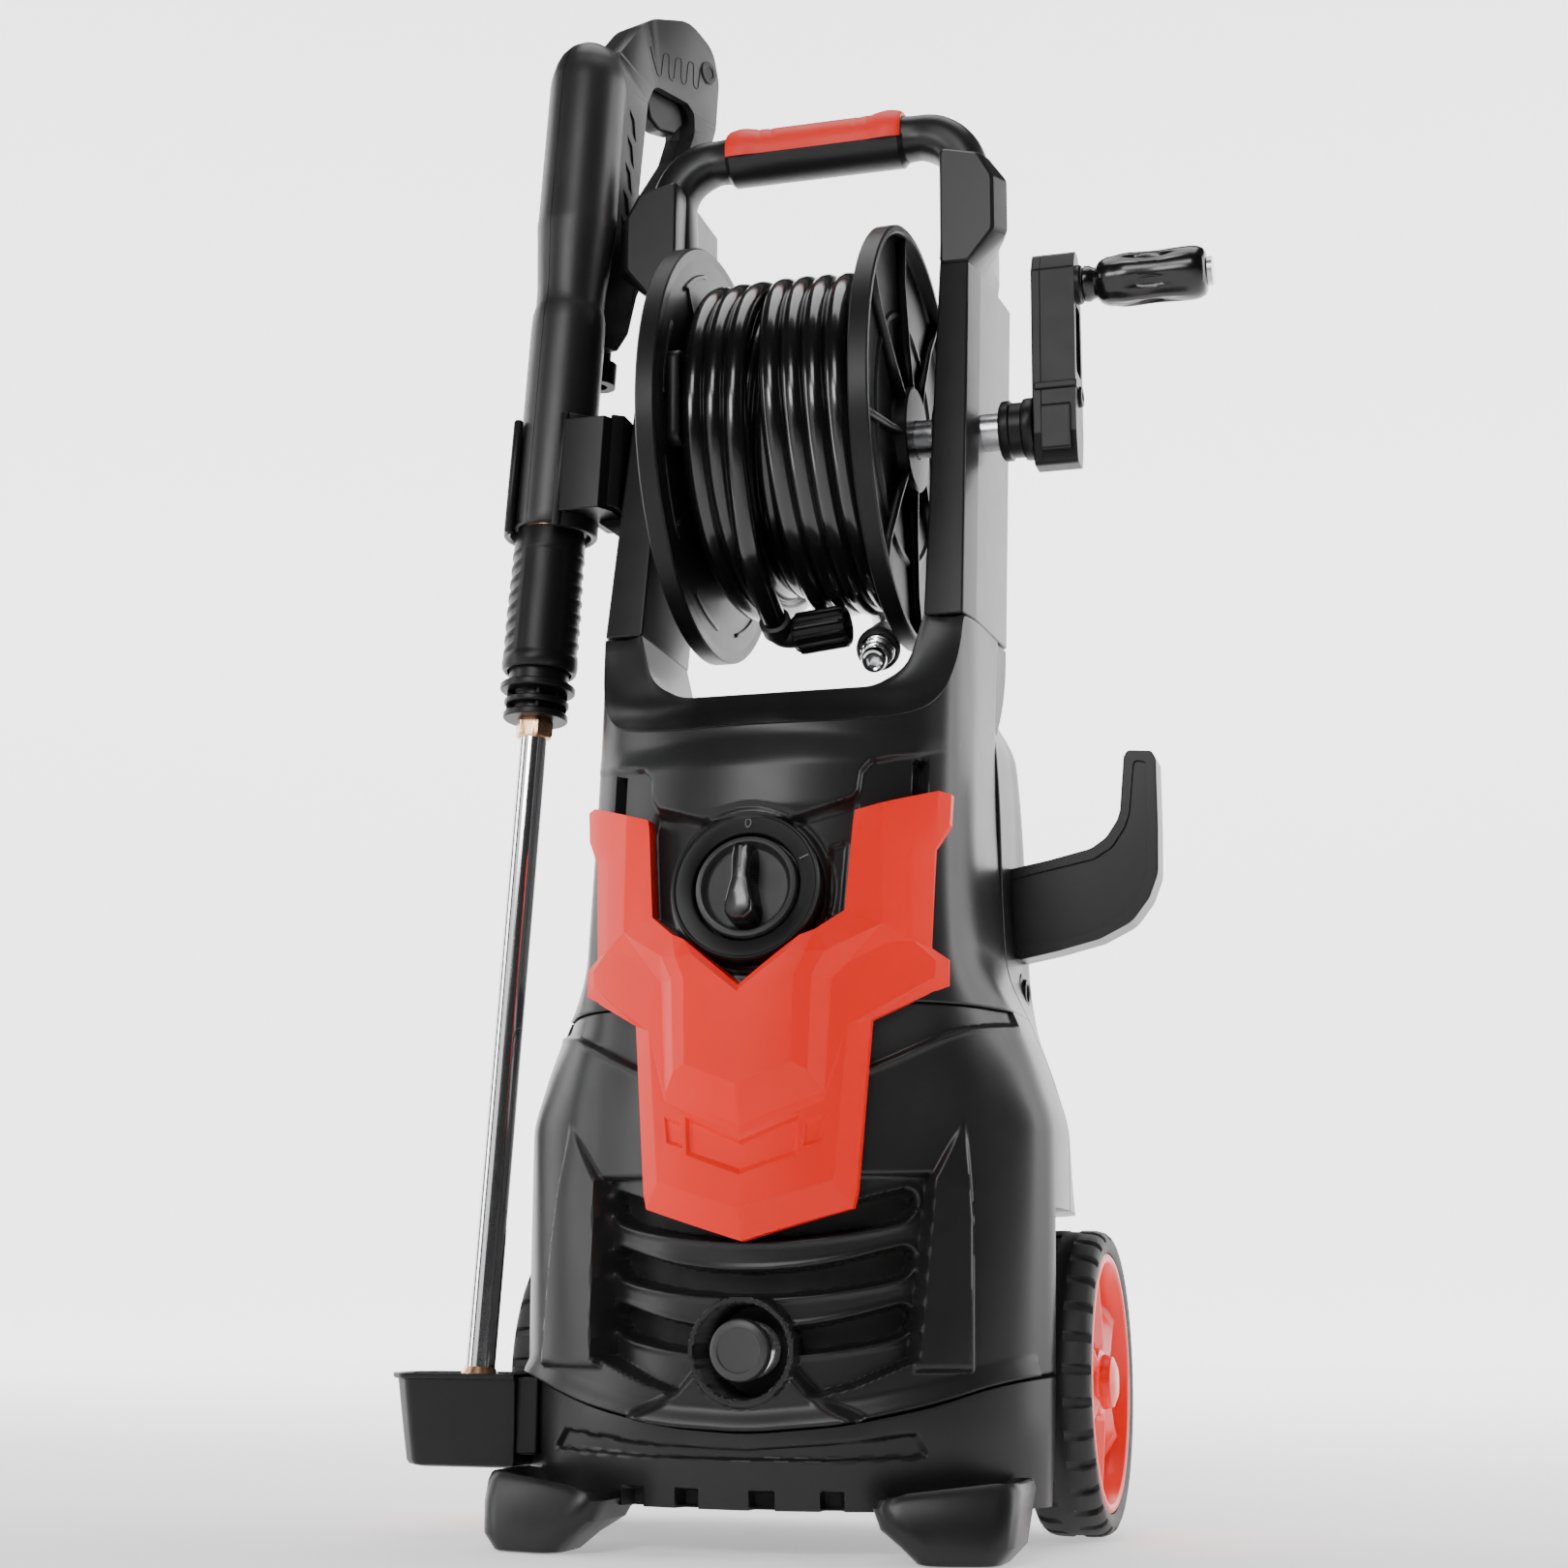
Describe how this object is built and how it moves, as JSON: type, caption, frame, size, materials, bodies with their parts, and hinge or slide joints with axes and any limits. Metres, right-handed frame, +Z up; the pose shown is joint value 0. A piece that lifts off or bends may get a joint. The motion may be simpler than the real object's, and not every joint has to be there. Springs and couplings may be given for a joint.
{
  "type": "pressure washer",
  "caption": "Upright electric pressure washer with a hose reel under its carrying handle, a trigger gun and lance held at the side, a front rotary switch, and wheels at the back.",
  "frame": {"origin": "on the floor under the middle of the machine, crank and lance cup included", "axes": "+Z up, -Y towards the control face, +X towards the crank side"},
  "size_m": [0.491, 0.2943, 1.0276],
  "materials": {
    "charcoal_plastic": "fine satin moulded",
    "gloss_black_plastic": "gloss",
    "dark_grey_plastic": "satin",
    "accent_red": "semi gloss",
    "tyre_rubber": "matt",
    "hose_rubber": "semi gloss",
    "chrome": "polished",
    "brass": "machined",
    "steel": "zinc plated",
    "aluminium": "as cast"
  },
  "bodies": {
    "chassis": {"accent_panel": "accent_red", "axle": "steel", "axle_washers": "steel", "base_tub": "charcoal_plastic", "cable_gland": "dark_grey_plastic", "cord_hook": "charcoal_plastic", "cover_screws": "steel", "front_feet": "dark_grey_plastic", "handle_bail": "charcoal_plastic", "handle_grip": "accent_red", "inlet_fitting": "chrome", "lance_clip": "charcoal_plastic", "lance_cup": "charcoal_plastic", "lower_front_cover": "charcoal_plastic", "motor_can": "steel", "pressure_pipe": "steel", "pump_head": "aluminium", "pump_pistons": "steel", "rear_cover": "charcoal_plastic", "reel_bushes": "dark_grey_plastic", "reel_cradle": "charcoal_plastic", "switch_bezel": "gloss_black_plastic", "switch_box": "dark_grey_plastic", "tower_cover": "charcoal_plastic", "upright_left": "charcoal_plastic", "upright_right": "charcoal_plastic"},
    "wheel_left": {"tyre_left": "tyre_rubber", "wheel_hub_left": "accent_red"},
    "wheel_right": {"tyre_right": "tyre_rubber", "wheel_hub_right": "accent_red"},
    "reel": {"reel_flange_left": "gloss_black_plastic", "reel_flange_right": "gloss_black_plastic", "reel_drum": "gloss_black_plastic", "reel_shaft": "steel", "crank_hub": "charcoal_plastic", "crank_arm": "charcoal_plastic", "crank_spindle": "steel", "hose_coil": "hose_rubber", "hose_lead": "hose_rubber", "hose_tail": "hose_rubber", "hose_nut": "dark_grey_plastic", "hose_boot": "hose_rubber", "hose_nipple": "chrome"},
    "crank_grip": {"crank_grip": "dark_grey_plastic"},
    "switch_knob": {"switch_knob": "gloss_black_plastic"},
    "gun": {"gun_shell_left": "dark_grey_plastic", "gun_shell_right": "dark_grey_plastic", "gun_valve": "brass", "gun_inlet_connector": "brass", "gun_screws": "steel"},
    "trigger": {"trigger": "dark_grey_plastic"},
    "lance_sleeve": {"lance_sleeve": "dark_grey_plastic"},
    "lance": {"lance_spool": "dark_grey_plastic", "lance_nut": "brass", "lance_tube": "chrome", "nozzle_tip": "brass"},
    "inlet_cap": {"inlet_cap": "dark_grey_plastic"},
    "motor_rotor": {"motor_rotor": "steel", "cooling_fan": "gloss_black_plastic", "wobble_plate": "steel"}
  },
  "joints": [
    {"name": "wheel_left_spin", "type": "hinge", "parent": "chassis", "child": "wheel_left", "pos_m": [-0.1705, 0.0585, 0.089], "axis": [1, 0, 0], "continuous": true},
    {"name": "wheel_right_spin", "type": "hinge", "parent": "chassis", "child": "wheel_right", "pos_m": [0.1395, 0.0585, 0.089], "axis": [1, 0, 0], "continuous": true},
    {"name": "reel_spin", "type": "hinge", "parent": "chassis", "child": "reel", "pos_m": [-0.0155, 0.0064, 0.6718], "axis": [1, 0, 0], "continuous": true},
    {"name": "crank_grip_spin", "type": "hinge", "parent": "reel", "child": "crank_grip", "pos_m": [0.2045, 0.0064, 0.765], "axis": [1, 0, 0], "continuous": true},
    {"name": "switch_turn", "type": "hinge", "parent": "chassis", "child": "switch_knob", "pos_m": [-0.0155, -0.1235, 0.365], "axis": [0, 0.9903, -0.1392], "range_deg": [0, 65]},
    {"name": "gun_lift_out", "type": "slide", "parent": "chassis", "child": "gun", "axis": [0.0367, 0.0574, 0.9977], "range_m": [0, 0.12]},
    {"name": "trigger_pull", "type": "hinge", "parent": "gun", "child": "trigger", "pos_m": [-0.14861, 0.04891, 0.9724], "axis": [0.9367, -0.3499, -0.0144], "range_deg": [0, 12], "stiffness_Nm_per_rad": 2, "springref_deg": -6.88},
    {"name": "sleeve_pull", "type": "slide", "parent": "gun", "child": "lance_sleeve", "axis": [-0.0367, -0.0574, -0.9977], "range_m": [0, 0.005], "stiffness_N_per_m": 600, "springref_m": -0.008},
    {"name": "lance_twist", "type": "hinge", "parent": "gun", "child": "lance", "pos_m": [-0.18494, -0.02897, 0.5], "axis": [0.0367, 0.0574, 0.9977], "range_deg": [0, 90]},
    {"name": "inlet_cap_pull", "type": "slide", "parent": "chassis", "child": "inlet_cap", "axis": [0, -1, 0], "range_m": [0, 0.03]},
    {"name": "motor_spin", "type": "hinge", "parent": "chassis", "child": "motor_rotor", "pos_m": [-0.0155, 0.0025, 0.3], "axis": [0, 0, 1], "continuous": true}
  ]
}
